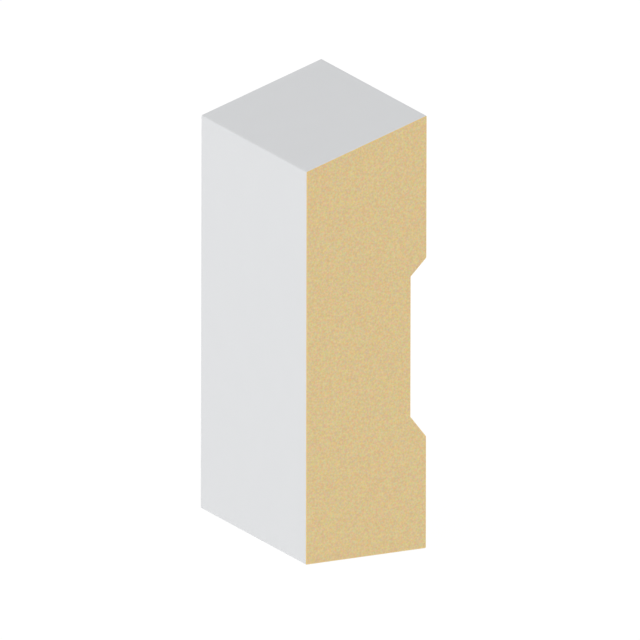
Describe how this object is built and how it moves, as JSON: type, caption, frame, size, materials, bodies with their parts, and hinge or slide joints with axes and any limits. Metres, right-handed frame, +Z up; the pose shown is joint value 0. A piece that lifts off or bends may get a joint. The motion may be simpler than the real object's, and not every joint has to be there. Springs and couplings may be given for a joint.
{
  "type": "bevelled moulding",
  "caption": "Short straight length of primed MDF moulding with a bevelled edge, a square edge and a relieved back, fixed to a wall as casing or skirting.",
  "frame": {"origin": "centre of the foot: half-way along the length and half-way through the thickness, at the underside", "axes": "+X along the length, +Y from the primed front to the grooved back, +Z up from the square edge to the bevelled edge"},
  "size_m": [0.0308, 0.018, 0.06],
  "materials": {
    "mdf_board": "bare medium-density fibreboard, sawn or machined, matt",
    "white_primer": "thin matt white factory primer on the front and both narrow edges"
  },
  "bodies": {
    "root": {"moulding": "mdf_board"}
  },
  "joints": []
}
